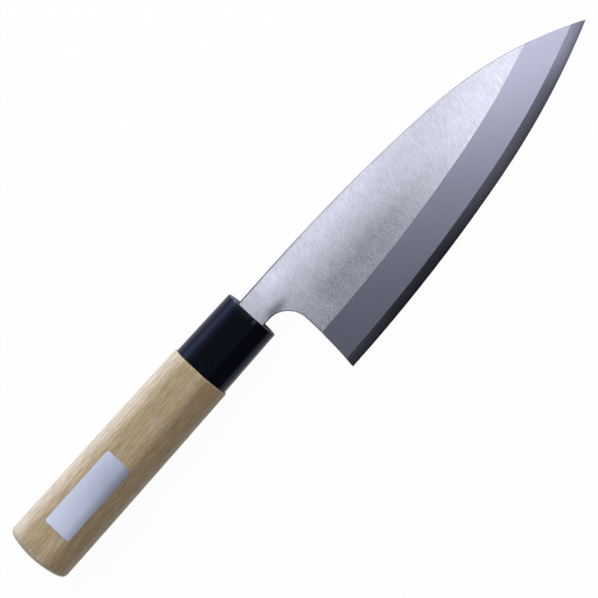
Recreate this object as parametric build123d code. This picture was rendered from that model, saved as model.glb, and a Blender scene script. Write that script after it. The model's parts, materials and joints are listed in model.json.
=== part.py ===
"""Single-bevel deba kitchen knife: two-layer forged blade, ho-wood grip, plastic ferrule.

The knife's own frame has X from the handle's mouth to the tip, Y to the spine and Z to the
bevelled side, with the blade's flat back at Z = 0. At the end the finished knife is laid down
the way it comes to rest on a table, on its edge and on the front shoulder of the grip.
"""
import os
from math import cos, radians, sin, sqrt

from build123d import *

os.makedirs("parts", exist_ok=True)

# Blade outline, seen from the bevelled side
BLADE_LENGTH = 164.9         # heel corner to tip
BLADE_DEPTH = 50.9           # spine to heel corner
HEEL_SETBACK = 11.0          # handle's mouth to heel corner
SPINE_RISE = 7.0             # spine above the handle's axis
TIP_DROP = 27.7              # tip below the straight part of the spine
SPINE_RUN = 7.5              # straight spine in front of the heel corner
BELLY_START_SHARE = 0.59     # of the blade's length, where both curves tighten
SPINE_FALL_SHARE = 0.179     # of the tip's drop, reached at the belly
EDGE_RISE_SHARE = 0.287      # of the tip's rise above the heel, reached at the belly
NECK_DEPTH = 13.4
HEEL_FRONT = 2.45            # how far the heel's straight stretch stands ahead of its corner
HEEL_RADIUS = 10.5           # concave bend from the neck down into the heel

# Blade thickness
SPINE_THICKNESS = 6.5        # at the handle's mouth
TIP_THICKNESS = 3.6          # the same wedge carried on to the tip
FLAT_THINNING = 1.1          # from the spine down to the ridge line at the heel
BEVEL_WIDTH = 18.4           # ridge line to cutting edge, square to the edge
EDGE_LAND = 0.2              # thickness left at the cutting edge
BEVEL_STATION_SHARES = (0, 0.12, 0.25, 0.38, 0.5, 0.62, 0.74, 0.87, 1)
HARD_LAYER_HEEL = 1.3        # hard steel at the heel
HARD_LAYER_TIP = 1.0         # hard steel at the tip
HARD_LAYER_START = 4.0       # where the hard steel ends on the neck, from the mouth
HARD_LAYER_SCARF = 5.0       # length over which it thins out there
NECK_EASE = 0.6              # softened corners of spine, neck and heel

# Hollow ground into the flat back
HOLLOW_DEPTH = 0.45
HOLLOW_EDGE_RIM = 2.2        # flat left along the cutting edge
HOLLOW_SPINE_RIM = 3.6       # flat left along the spine
HOLLOW_STATION_SHARES = (0.05, 0.075, 0.12, 0.25, 0.4, 0.55, 0.7, 0.8, 0.87, 0.9)
HOLLOW_FULLNESS_SHARES = (0.3, 0.62, 0.86, 1, 1, 1, 1, 0.96, 0.75, 0.4)

# Tang, hidden in the handle
TANG_LENGTH = 92.0           # from the handle's mouth
TANG_SHOULDER = 3.0          # neck section carried on inside the mouth
TANG_STEP = 0.8              # tang smaller than the neck at its shoulder, each side
TANG_END_DEPTH = 6.0
TANG_END_THICKNESS = 2.6
TANG_CORNER = 0.8
BEDDING_GAP = 0.8            # resin between tang and wood
BEDDING_TOE = 3.0            # resin beyond the end of the tang
BEDDING_RECESS = 0.6         # resin behind the wood's front face

# Handle
HANDLE_LENGTH = 131.9
FERRULE_LENGTH = 30.7
SHOULDER_WIDTH = 27.0        # wood at the ferrule
WAIST_WIDTH = 28.1           # wood halfway
BUTT_WIDTH = 28.8            # wood at the butt
SHOULDER_THICKNESS = 21.0
WAIST_THICKNESS = 21.9
BUTT_THICKNESS = 22.6
FERRULE_STEP = 0.75          # wood proud of the ferrule, each side
FERRULE_TAPER = 0.5          # ferrule smaller at its front, each side
FERRULE_WALL = 2.0
FERRULE_FIT = 0.05           # glue line between ferrule and tenon
FERRULE_EASE = 0.35
TENON_RECESS = 0.3           # tenon's end behind the ferrule's front
SHOULDER_EASE = 0.5
BUTT_DOME_RADIUS = 40.0
BUTT_EASE = 2.4              # rounding of the butt's rim
BUTT_TURN_ANGLES = (0, 25, 50, 75)   # degrees of that rounding, at each section through it
BUTT_END_INSET = 6.0         # last section of the loft, which the dome cuts off

# D-shaped section of the handle
RIDGE_FRONT_SHARE = 0.13     # ridge towards the edge side of the axis, of the width
RIDGE_BUTT_SHARE = 0.18
RIDGE_RUN = 2.4              # rounding of the ridge, along each face
RIDGE_LIMIT_SHARE = 0.8      # most of the narrower face that the rounding may take
SPINE_FACE_SLOPE = 13        # degrees, ridge down to the spine side
EDGE_FACE_SLOPE = 27         # degrees, ridge down to the edge side

# Bare label on the grip
LABEL_LENGTH = 38.0
LABEL_WIDTH = 12.8
LABEL_CORNER = 1.0
LABEL_THICKNESS = 0.15
LABEL_FROM_BUTT = 15.8
LABEL_RISE = 0.45            # middle of the label above the handle's axis

# Grams per cubic millimetre, for the balance
DENSITIES = {
    "blade_body": 7.85e-3, "edge_steel": 7.85e-3, "grip": 0.5e-3,
    "ferrule": 1.2e-3, "tang_bedding": 1.2e-3, "label": 0.9e-3,
}

OVERRUN = 5.0                # how far every cutter reaches past what it cuts
TOUCHING = 0.001             # nearer than this, a corner lies on a line of the outline
SETTLING_ROUNDS = 8
HALVINGS = 24

TIP_X = HEEL_SETBACK + BLADE_LENGTH
HEEL_Y = SPINE_RISE - BLADE_DEPTH
TIP_Y = SPINE_RISE - TIP_DROP
NECK_Y = SPINE_RISE - NECK_DEPTH
BELLY_X = HEEL_SETBACK + BELLY_START_SHARE * BLADE_LENGTH
HEEL_X = HEEL_SETBACK + HEEL_FRONT
AXIS_Z = SPINE_THICKNESS / 2
SHOULDER_X = -FERRULE_LENGTH
BUTT_X = -HANDLE_LENGTH
WAIST_X = (SHOULDER_X + BUTT_X) / 2
WEDGE = (SPINE_THICKNESS - TIP_THICKNESS) / TIP_X
CROSS_WEDGE = FLAT_THINNING / (BLADE_DEPTH - BEVEL_WIDTH)


def cutting_edge():
    """Edge from the heel corner to the tip: a long shallow arc, then the belly."""
    belly = (BELLY_X, HEEL_Y + EDGE_RISE_SHARE * (TIP_Y - HEEL_Y))
    long_arc = TangentArc((HEEL_SETBACK, HEEL_Y), belly, tangent=(1, 0))
    belly_arc = TangentArc(belly, (TIP_X, TIP_Y), tangent=long_arc % 1)
    return [long_arc, belly_arc]


def spine():
    """Spine from the neck to the tip: straight, a long arc, then the drop to the tip."""
    start = (HEEL_SETBACK + SPINE_RUN, SPINE_RISE)
    belly = (BELLY_X, SPINE_RISE - SPINE_FALL_SHARE * TIP_DROP)
    long_arc = TangentArc(start, belly, tangent=(1, 0))
    drop_arc = TangentArc(belly, (TIP_X, TIP_Y), tangent=long_arc % 1)
    return [Line((-TANG_SHOULDER, SPINE_RISE), start), long_arc, drop_arc]


def heel():
    """Neck's underside, the concave bend, and the heel leaning back to its corner."""
    bend_start = (HEEL_X - HEEL_RADIUS, NECK_Y)
    bend_end = (HEEL_X, NECK_Y - HEEL_RADIUS)
    underside = Line((-TANG_SHOULDER, NECK_Y), bend_start)
    bend = TangentArc(bend_start, bend_end, tangent=(1, 0))
    lean = TangentArc(bend_end, (HEEL_SETBACK, HEEL_Y), tangent=(0, -1))
    return [underside, bend, lean]


def flat_height(x, y):
    """Height of the forged flat side over the blade's back."""
    return SPINE_THICKNESS - WEDGE * x - CROSS_WEDGE * (SPINE_RISE - y)


def bevel_cutter():
    """Everything above the bevel: three-cornered sections, square to the cutting edge."""
    path = Wire(cutting_edge())
    places = [(path @ share, path % share) for share in BEVEL_STATION_SHARES]
    (heel_point, heel_way), (tip_point, tip_way) = places[0], places[-1]
    places.insert(0, (heel_point - heel_way * OVERRUN, heel_way))
    places.append((tip_point + tip_way * OVERRUN, tip_way))
    sections = []
    for point, way in places:
        inward = Vector(-way.Y, way.X)
        ridge = point + inward * BEVEL_WIDTH
        slope = (flat_height(ridge.X, ridge.Y) - EDGE_LAND) / BEVEL_WIDTH
        outside = point - inward * OVERRUN
        inside = ridge + inward * OVERRUN
        low = Vector(outside.X, outside.Y, EDGE_LAND - slope * OVERRUN)
        high = Vector(inside.X, inside.Y, EDGE_LAND + slope * (BEVEL_WIDTH + OVERRUN))
        top = Vector(outside.X, outside.Y, SPINE_THICKNESS + OVERRUN)
        sections.append(Face(Wire.make_polygon([low, high, top], close=True)))
    return loft(sections)


def hollow_cutter():
    """Shallow hollow of the back: segments of a circle between two flat rims."""
    edge_line, spine_line = Wire(cutting_edge()), Wire(spine()[1:])
    sections = []
    for share, fullness in zip(HOLLOW_STATION_SHARES, HOLLOW_FULLNESS_SHARES):
        low, high = edge_line @ share, spine_line @ share
        across = (high - low).normalized()
        low, high = low + across * HOLLOW_EDGE_RIM, high - across * HOLLOW_SPINE_RIM
        half = (high - low).length / 2 * fullness
        section = Plane(origin=(low + high) / 2, x_dir=across, z_dir=across.cross(Vector(0, 0, 1)))
        arc = ThreePointArc((-half, 0), (0, HOLLOW_DEPTH * fullness**2), (half, 0))
        skirt = Polyline((half, 0), (half, -OVERRUN), (-half, -OVERRUN), (-half, 0))
        sections.append(section * make_face([arc, skirt]))
    return loft(sections)


def blade():
    """Both steels of the blade as one solid, from the neck to the tip."""
    neck_end = Line((-TANG_SHOULDER, NECK_Y), (-TANG_SHOULDER, SPINE_RISE))
    slab = extrude(make_face([*spine(), *cutting_edge(), *heel(), neck_end]), SPINE_THICKNESS + OVERRUN)
    flat_side = Plane(
        origin=(0, SPINE_RISE, SPINE_THICKNESS), x_dir=(1, 0, -WEDGE), z_dir=(WEDGE, -CROSS_WEDGE, 1)
    )
    slab = split(slab, bisect_by=flat_side, keep=Keep.BOTTOM)
    eased_paths = [*spine(), *heel()]
    corners = [edge for edge in slab.edges() if any(runs_on(edge, path) for path in eased_paths)]
    return fillet(corners, NECK_EASE) - bevel_cutter() - hollow_cutter()


def runs_on(edge, path):
    """True where a corner of the slab runs above or on a piece of the outline."""
    start, middle, end = edge @ 0, edge @ 0.5, edge @ 1
    level = Vector(start.X, start.Y).get_angle(Vector(end.X, end.Y)) > 0
    return level and path.distance_to(Vertex(middle.X, middle.Y, 0)) < TOUCHING


def hard_steel_zone():
    """Wedge that holds the hard steel: along the back, thinning out on the neck."""
    start_x, end_x = HARD_LAYER_START, TIP_X + OVERRUN
    thinning = (HARD_LAYER_HEEL - HARD_LAYER_TIP) / BLADE_LENGTH
    full_x = start_x + HARD_LAYER_SCARF
    side = Polyline(
        (start_x, 0), (full_x, HARD_LAYER_HEEL + thinning * (HEEL_SETBACK - full_x)),
        (end_x, HARD_LAYER_TIP - thinning * OVERRUN), (end_x, -OVERRUN), (start_x, -OVERRUN),
        close=True,
    )
    across = Plane(origin=(0, SPINE_RISE + OVERRUN, 0), x_dir=(1, 0, 0), z_dir=(0, -1, 0))
    return extrude(across * make_face(side), BLADE_DEPTH + 2 * OVERRUN)


def tapered_tang(front_x, end_x, front_growth, end_growth):
    """Tang inside the handle, or with growth the room round it, tapered in both directions."""
    growths = {front_x: front_growth, end_x: end_growth}
    sections = []
    for x, growth in growths.items():
        share = (-TANG_SHOULDER - x) / (TANG_LENGTH - TANG_SHOULDER)
        depth = NECK_DEPTH + (TANG_END_DEPTH - NECK_DEPTH) * share + 2 * growth
        thickness = SPINE_THICKNESS + (TANG_END_THICKNESS - SPINE_THICKNESS) * share + 2 * growth
        middle_y = (SPINE_RISE + NECK_Y) / 2 * (1 - share)
        sections.append(across_handle(x, middle_y) * RectangleRounded(depth, thickness, TANG_CORNER))
    return loft(sections)


def across_handle(x, y=0):
    """Plane square to the handle's axis, its own X to the spine and its own Y to the bevelled side."""
    return Plane(origin=(x, y, AXIS_Z), x_dir=(0, 1, 0), z_dir=(1, 0, 0))


def d_section(x, width, thickness, ridge_share):
    """D-shaped section: half an ellipse below, and above it two flat faces with a rounded ridge.

    Each flat face runs tangent into an arc that stands upright where it meets the ellipse.
    """
    half_width, half_thickness = width / 2, thickness / 2
    ridge = Vector(-ridge_share * width, half_thickness)
    outline = [EllipticalCenterArc((0, 0), half_width, half_thickness, start_angle=180, arc_size=180)]
    face_ends = []
    for side, slope in ((1, SPINE_FACE_SLOPE), (-1, EDGE_FACE_SLOPE)):
        fall, run = sin(radians(slope)), cos(radians(slope))
        span = half_width - side * ridge.X
        radius = (half_thickness * run - span * fall) / (1 - fall)
        centre = Vector(side * (half_width - radius), 0)
        start_angle = 0 if side > 0 else 90 + slope
        outline.append(CenterArc(centre, radius, start_angle=start_angle, arc_size=90 - slope))
        face_ends.append(centre + Vector(side * fall, run) * radius)
    narrower_face = min((end - ridge).length for end in face_ends)
    ridge_run = min(RIDGE_RUN, RIDGE_LIMIT_SHARE * narrower_face)
    ridge_ends = [ridge + (end - ridge).normalized() * ridge_run for end in face_ends]
    outline += [Line(*ends) for ends in zip(face_ends, ridge_ends)]
    outline.append(TangentArc(*ridge_ends, tangent=ridge - ridge_ends[0]))
    return across_handle(x) * make_face(outline)


def butt_turn():
    """Rounded rim of the butt: places along the axis, and how far in the section lies there."""
    rim_radius = (BUTT_WIDTH + BUTT_THICKNESS) / 4 - BUTT_EASE
    dome_drop = BUTT_DOME_RADIUS - sqrt(BUTT_DOME_RADIUS**2 - rim_radius**2)
    turn = [
        (BUTT_X + dome_drop + BUTT_EASE * (1 - sin(angle)), BUTT_EASE * (1 - cos(angle)))
        for angle in map(radians, BUTT_TURN_ANGLES)
    ]
    return [*turn, (BUTT_X, BUTT_END_INSET)]


def grip_loft(growth=0):
    """Outer form of the wood, from its broken front corner over the waist to the butt's rim."""
    waist_share = (RIDGE_FRONT_SHARE + RIDGE_BUTT_SHARE) / 2
    stations = [
        (SHOULDER_X, SHOULDER_WIDTH, SHOULDER_THICKNESS, RIDGE_FRONT_SHARE, SHOULDER_EASE),
        (SHOULDER_X - SHOULDER_EASE, SHOULDER_WIDTH, SHOULDER_THICKNESS, RIDGE_FRONT_SHARE, 0),
        (WAIST_X, WAIST_WIDTH, WAIST_THICKNESS, waist_share, 0),
    ]
    stations += [(x, BUTT_WIDTH, BUTT_THICKNESS, RIDGE_BUTT_SHARE, inset) for x, inset in butt_turn()]
    sections = [
        d_section(x, width + 2 * (growth - inset), thickness + 2 * (growth - inset), ridge_share)
        for x, width, thickness, ridge_share, inset in stations
    ]
    return loft(sections, ruled=True)


def ferrule_loft(inset, front_x, front_ease=0):
    """Form of the ferrule, or its bore or the tenon where inset is more than zero."""
    sections = []
    for x, ease in ((SHOULDER_X, 0), (front_x - front_ease, 0), (front_x, front_ease)):
        smaller = 2 * (FERRULE_STEP + FERRULE_TAPER * (x - SHOULDER_X) / FERRULE_LENGTH + inset + ease)
        section = d_section(x, SHOULDER_WIDTH - smaller, SHOULDER_THICKNESS - smaller, RIDGE_FRONT_SHARE)
        sections.append(section)
    return loft(sections if front_ease else sections[::2], ruled=True)


def tang_room(front_x):
    """Room burned into the wood for the tang and its bedding, from a front face inwards."""
    return tapered_tang(front_x, -TANG_LENGTH - BEDDING_TOE, BEDDING_GAP, BEDDING_GAP)


def make_tang():
    """Tang alone, from its shoulder inside the mouth to its end."""
    return tapered_tang(-TANG_SHOULDER, -TANG_LENGTH, -TANG_STEP, 0)


def grip_blank():
    """Grip before the tang is burned in: domed butt, tapered body and the ferrule's tenon."""
    dome = Pos(BUTT_X + BUTT_DOME_RADIUS, 0, AXIS_Z) * Sphere(BUTT_DOME_RADIUS)
    round_dome = Pos(BUTT_X, 0, AXIS_Z) * Box(*[2 * BUTT_DOME_RADIUS] * 3) - dome
    return grip_loft() - round_dome + ferrule_loft(FERRULE_WALL + FERRULE_FIT, -TENON_RECESS)


def make_ferrule():
    """Moulded ring over the tenon, its front corner just broken."""
    return ferrule_loft(0, 0, FERRULE_EASE) - ferrule_loft(FERRULE_WALL, 0)


def make_label():
    """Thin blank label bent over the ridge of the grip."""
    middle_x = BUTT_X + LABEL_FROM_BUTT + LABEL_LENGTH / 2
    stamp = Pos(middle_x, LABEL_RISE, AXIS_Z) * extrude(
        RectangleRounded(LABEL_LENGTH, LABEL_WIDTH, LABEL_CORNER), BUTT_THICKNESS
    )
    return (grip_loft(LABEL_THICKNESS) & stamp) - grip_loft()


def resting_plane(parts):
    """Table under the knife, touching the grip's front shoulder and the cutting edge.

    The two places where it touches are in line with the centre of mass, so it neither
    rolls nor tips. The table slopes across the grip, which moves the touching place on
    the grip's round underside, so both are found in a few rounds.
    """
    path = Wire(cutting_edge())
    weights = {name: part.volume * DENSITIES[name] for name, part in parts.items()}
    balance = sum((parts[name].center() * weight for name, weight in weights.items()), Vector(0, 0, 0))
    balance /= sum(weights.values())
    half_width, half_thickness = SHOULDER_WIDTH / 2, SHOULDER_THICKNESS / 2
    up = Vector(0, 0, 1)
    for _ in range(SETTLING_ROUNDS):
        slope = -up.Y / up.Z
        reach = sqrt(half_thickness**2 + (slope * half_width) ** 2)
        foot = Vector(
            SHOULDER_X - SHOULDER_EASE, slope * half_width**2 / reach, AXIS_Z - half_thickness**2 / reach
        )
        low_share, high_share = 0, 1
        for _ in range(HALVINGS):
            share = (low_share + high_share) / 2
            beyond = (balance - foot).cross((path @ share) - foot).dot(up) > 0
            low_share, high_share = (low_share, share) if beyond else (share, high_share)
        up = (path % share).cross(foot - (path @ share)).normalized()
        up = up if up.Z > 0 else -up
    return Plane(origin=foot, x_dir=Vector(1, 0, 0) - up * up.X, z_dir=up)


def laid_down(parts):
    """The knife as it lies on a table, the middle of its box over the origin."""
    table = resting_plane(parts)
    lying = {name: table.location.inverse() * part for name, part in parts.items()}
    boxes = [part.bounding_box() for part in lying.values()]
    box = boxes[0]
    for other in boxes[1:]:
        box = box.add(other)
    to_origin = Pos(-box.center().X, -box.center().Y, -box.min.Z)
    return {name: to_origin * part for name, part in lying.items()}


def make_knife():
    """All pieces in the knife's own frame, by name."""
    both_steels, tang = blade(), make_tang()
    zone, blank = hard_steel_zone(), grip_blank()
    bedding = (tang_room(-BEDDING_RECESS) & blank) - tang - both_steels
    return {
        "blade_body": both_steels - zone + tang,
        "edge_steel": both_steels & zone,
        "grip": blank - tang_room(0),
        "ferrule": make_ferrule(),
        "tang_bedding": bedding,
        "label": make_label(),
    }


for name, part in laid_down(make_knife()).items():
    export_step(part, f"parts/{name}.step")
    print(name, round(part.volume), "cubic mm")
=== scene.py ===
# %% [markdown]
# # Deba knife
# A deba is a heavy Japanese kitchen knife for fish, ground on one side only. Its blade is a
# sandwich of two steels, its handle a D-shaped piece of pale magnolia wood with a black plastic
# ring at the front. This file dresses the engineering model of that knife: it keeps the blade as
# it was designed, makes finer surfaces for handle, ring and label, and gives every surface the
# finish of the real one. The model arrives as a fixed frame, in metres, lying on a table.

import json
from math import cos, pi, radians, sin, tan

import bpy
import numpy as np
from mathutils import Matrix, Vector


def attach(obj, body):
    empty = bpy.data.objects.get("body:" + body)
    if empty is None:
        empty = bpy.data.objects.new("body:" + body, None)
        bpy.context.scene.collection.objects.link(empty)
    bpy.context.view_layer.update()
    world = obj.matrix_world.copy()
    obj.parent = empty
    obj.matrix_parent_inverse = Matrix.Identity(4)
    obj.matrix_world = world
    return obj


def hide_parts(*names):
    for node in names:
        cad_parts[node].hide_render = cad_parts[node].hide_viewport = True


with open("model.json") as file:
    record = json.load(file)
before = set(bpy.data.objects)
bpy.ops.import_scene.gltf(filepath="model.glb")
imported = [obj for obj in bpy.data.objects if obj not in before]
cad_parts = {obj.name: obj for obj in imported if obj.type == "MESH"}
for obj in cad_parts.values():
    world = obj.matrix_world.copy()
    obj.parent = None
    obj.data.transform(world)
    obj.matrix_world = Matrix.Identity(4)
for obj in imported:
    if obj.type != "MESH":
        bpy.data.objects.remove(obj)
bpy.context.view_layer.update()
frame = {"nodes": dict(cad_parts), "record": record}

# %% [markdown]
# ## The knife's own frame
# The knife rests on its edge and on the shoulder of its grip, so it lies a few degrees askew. It
# is far easier to think in the knife's own frame: X from the handle's mouth to the tip, Y from
# the cutting edge to the spine, and Z out of the ground side, with the flat back at Z = 0. Two
# mounts of the model tell where that frame is: the flat of the back gives Z, and the way a sheath
# slides on gives X. Every size below is in millimetres of that frame.

# %% Find the knife's own frame
MM = 0.001
BACK_FLAT_PLACE = Vector((16.0, -2.0, 0.0)) * MM     # the back_flat mount in the knife's own frame

mounts = {mount["name"]: mount for mount in frame["record"]["mounts"]}
Z_AXIS = -Vector(mounts["back_flat"]["axis"]).normalized()
X_AXIS = Vector(mounts["sheath_over_blade"]["axis"])
X_AXIS = (X_AXIS - Z_AXIS * X_AXIS.dot(Z_AXIS)).normalized()
Y_AXIS = Z_AXIS.cross(X_AXIS)
TO_WORLD = Matrix((X_AXIS, Y_AXIS, Z_AXIS)).transposed()
ORIGIN = Vector(mounts["back_flat"]["pos_m"]) - TO_WORLD @ BACK_FLAT_PLACE


def in_world(points):
    """Points of the knife's own frame in millimetres, as an array, in metres of the model's frame."""
    return points @ np.array(TO_WORLD.transposed()) * MM + np.array(ORIGIN)


def place(x, y, z):
    """One point of the knife's own frame, in metres of the model's frame."""
    return ORIGIN + TO_WORLD @ Vector((x, y, z)) * MM


print("knife origin:", [round(value, 4) for value in ORIGIN])

# %% [markdown]
# ## Camera
# The photograph looks down on the ground side from far away, so its lines stay nearly parallel:
# a long lens, two metres off, leaning a few degrees towards the tip. The knife runs from lower
# left to upper right in it. One photograph pixel is 0.3986 mm on the blade.

# %% Camera
PHOTO_SIZE = 598                       # pixels
PIXEL = 0.3986                         # mm on the blade for each photo pixel
KNIFE_TURN = radians(48.3)             # handle's axis above the picture's horizontal
VIEW_LEAN = radians(5)                 # camera's lean towards the tip
VIEW_MIDDLE = (17.1, -9.85, 3.0)       # mm, the point in the picture's middle
CAMERA_DISTANCE = 2000                 # mm
SENSOR = 36.0                          # mm
CLIP_END = 20                          # m

picture_up = TO_WORLD @ Vector((sin(KNIFE_TURN), cos(KNIFE_TURN), 0))
toward_camera = TO_WORLD @ Vector((sin(VIEW_LEAN), 0, cos(VIEW_LEAN)))
picture_right = picture_up.cross(toward_camera).normalized()
picture_up = toward_camera.cross(picture_right)
camera_data = bpy.data.cameras.new("photo_camera")
camera_data.sensor_width = SENSOR
camera_data.lens = SENSOR * CAMERA_DISTANCE / (PHOTO_SIZE * PIXEL)
camera_data.clip_end = CLIP_END
camera = bpy.data.objects.new("photo_camera", camera_data)
bpy.context.scene.collection.objects.link(camera)
stand = place(*VIEW_MIDDLE) + toward_camera * CAMERA_DISTANCE * MM
turn = Matrix((picture_right, picture_up, toward_camera)).transposed().to_4x4()
camera.matrix_world = Matrix.Translation(stand) @ turn
bpy.context.scene.camera = camera
bpy.context.scene.view_settings.view_transform = "Standard"
print("lens in mm:", round(camera_data.lens))

# %% [markdown]
# ## Node helpers
# Every finish below is a small network of shader nodes. One function turns a hex colour, as a
# paint chart writes it, into the linear values that the renderer counts in. Another adds a node,
# whatever its kind, sets its options and fills its inputs. A third gives every network the same
# ruler: a place on the knife in millimetres.

# %% Colour and node helpers
def linear(hex_colour):
    """sRGB hex colour as linear red, green, blue and alpha: the sRGB curve undone for each channel."""
    channels = [int(hex_colour[start:start + 2], 16) / 255 for start in (0, 2, 4)]
    return [c / 12.92 if c <= 0.04045 else ((c + 0.055) / 1.055) ** 2.4 for c in channels] + [1]


def add(tree, kind, inputs=None, stops=(), **options):
    """Add a node, set its options and fill its inputs, by name or by number among those in use.

    An input takes a number, a hex colour, a socket, or a node, which gives its first output in
    use. Stops are the places and hex colours of a colour ramp.
    """
    node = tree.nodes.new(kind)
    for name, value in options.items():
        setattr(node, name, value)
    in_use = [socket for socket in node.inputs if socket.enabled]
    for key, value in (inputs or {}).items():
        socket = in_use[key] if isinstance(key, int) else next(s for s in in_use if s.name == key)
        if isinstance(value, bpy.types.Node):
            value = next(output for output in value.outputs if output.enabled)
        if isinstance(value, bpy.types.NodeSocket):
            tree.links.new(value, socket)
        else:
            socket.default_value = linear(value) if isinstance(value, str) else value
    while stops and len(node.color_ramp.elements) < len(stops):
        node.color_ramp.elements.new(1.0)
    for stop, (position, colour) in enumerate(stops):
        node.color_ramp.elements[stop].position = position
        node.color_ramp.elements[stop].color = linear(colour)
    return node


def new_material(name):
    """Empty node material and its tree, ready for a shader."""
    material = bpy.data.materials.new(name)
    material.use_nodes = True
    material.node_tree.nodes.clear()
    return material, material.node_tree


def knife_mm(tree):
    """Position in the knife's own frame, in millimetres: Object coordinates moved and turned."""
    turned = Matrix((X_AXIS, Y_AXIS, Z_AXIS))
    return add(tree, "ShaderNodeMapping", {
        "Vector": add(tree, "ShaderNodeTexCoord").outputs["Object"],
        "Location": -(turned @ ORIGIN) / MM, "Rotation": turned.to_euler(),
        "Scale": (1 / MM, 1 / MM, 1 / MM),
    })


print("mid grey 808080 as the renderer counts it:", round(linear("808080")[0], 3))

# %% [markdown]
# ## Studio
# The knife lies on a white table under soft light from the top of the picture, which is off the
# tip and the spine. A smaller box close to overhead is what the ground steel mirrors, and low ones
# off the tip, the spine and the heel draw the bands along the black ring, with painted reflection
# in the ring's colour adding to them. The rest of the room is dim, so the bevel runs from dark at
# the heel to bright at the tip. The table shows white to the camera and in reflections, but the
# knife isn't lit harder for that.

# %% Table
TABLE_HALF = 3.0                       # m
WHITE_SHARE = 0.97                     # how much of the white that is seen doesn't need the lamps

table_mesh = bpy.data.meshes.new("table")
corners = [(-TABLE_HALF, -TABLE_HALF, 0), (TABLE_HALF, -TABLE_HALF, 0),
           (TABLE_HALF, TABLE_HALF, 0), (-TABLE_HALF, TABLE_HALF, 0)]
table_mesh.from_pydata(corners, [], [(0, 1, 2, 3)])
table = bpy.data.objects.new("table", table_mesh)
bpy.context.scene.collection.objects.link(table)
material, tree = new_material("white_paper")
path = add(tree, "ShaderNodeLightPath")
seen = path.outputs["Is Camera Ray"]
for other in ("Is Glossy Ray", "Is Transmission Ray"):
    seen = add(tree, "ShaderNodeMath", {0: seen, 1: path.outputs[other]}, operation="MAXIMUM")
share = add(tree, "ShaderNodeMath", {0: seen, 1: WHITE_SHARE}, operation="MULTIPLY")
paper = add(tree, "ShaderNodeBsdfDiffuse", {"Color": "E6E6E8"})
glow = add(tree, "ShaderNodeEmission", {"Color": "FFFFFF", "Strength": 1.0})
both = add(tree, "ShaderNodeMixShader", {0: share, 1: paper, 2: glow})
add(tree, "ShaderNodeOutputMaterial", {"Surface": both})
table_mesh.materials.append(material)
print("table's side in m:", 2 * TABLE_HALF)

# %% Room and lamps
ROOM_LEVEL = 0.14
LAMP_AIM = (20, -10, 5)                # mm, the point that the lamps face
SOFT_BOXES = (                         # name, direction, distance and sides in m, brightness, colour
    ("top_box", (0.42, 0.68, 0.60), 1.8, (1.5, 1.5), 3.3, "FFFCF6"),
    ("overhead_box", (0.15, -0.12, 0.98), 1.2, (0.27, 0.48), 6.2, "F6F8FF"),
    ("low_tip_box", (0.62, 0.75, 0.25), 1.8, (1.6, 0.7), 5.4, "FFFCFF"),
    ("low_spine_box", (-0.30, 0.82, 0.48), 2.0, (2.2, 1.3), 1.9, "D6DEFF"),
    ("low_heel_box", (-0.85, -0.35, 0.30), 2.0, (1.2, 1.0), 0.9, "F0F2FF"),
)

world = bpy.data.worlds.new("studio")
bpy.context.scene.world = world
world.use_nodes = True
tree = world.node_tree
tree.nodes.clear()
room = add(tree, "ShaderNodeBackground", {"Color": "C8CEDF", "Strength": ROOM_LEVEL})
white = add(tree, "ShaderNodeBackground", {"Color": "FFFFFF", "Strength": 1.0})
seen = add(tree, "ShaderNodeLightPath").outputs["Is Camera Ray"]
both = add(tree, "ShaderNodeMixShader", {0: seen, 1: room, 2: white})
add(tree, "ShaderNodeOutputWorld", {"Surface": both})


def soft_box(name, direction, distance, size, brightness, colour):
    """Rectangular lamp seen from the blade in a direction of the knife's own frame.

    Its first side lies as near as can be along the knife. Its brightness is what a mirror would
    show, so its power is brightness * pi * area.
    """
    data = bpy.data.lights.new(name, "AREA")
    data.shape, data.size, data.size_y = "RECTANGLE", size[0], size[1]
    data.energy, data.color = brightness * pi * size[0] * size[1], linear(colour)[:3]
    lamp = bpy.data.objects.new(name, data)
    bpy.context.scene.collection.objects.link(lamp)
    away = TO_WORLD @ Vector(direction).normalized()
    along = (X_AXIS - away * X_AXIS.dot(away)).normalized()
    turned = Matrix((along, away.cross(along), away)).transposed().to_4x4()
    lamp.matrix_world = Matrix.Translation(place(*LAMP_AIM) + away * distance) @ turned


for box in SOFT_BOXES:
    soft_box(*box)

# %% [markdown]
# ## Surfaces from arrays
# A handle is a D-shaped ring carried along a line, and so is everything that seats on it. Such a
# form could be boxed out and subdivided by hand, but its real shape has a formula: half an ellipse
# below, two flat faces meeting in a rounded ridge above. So each piece is a grid of points, worked
# out for all rows at once and handed to Blender as whole arrays.

# %% Grid to mesh
CREASE = radians(35)                   # corners turned further than this are shaded sharp


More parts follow.
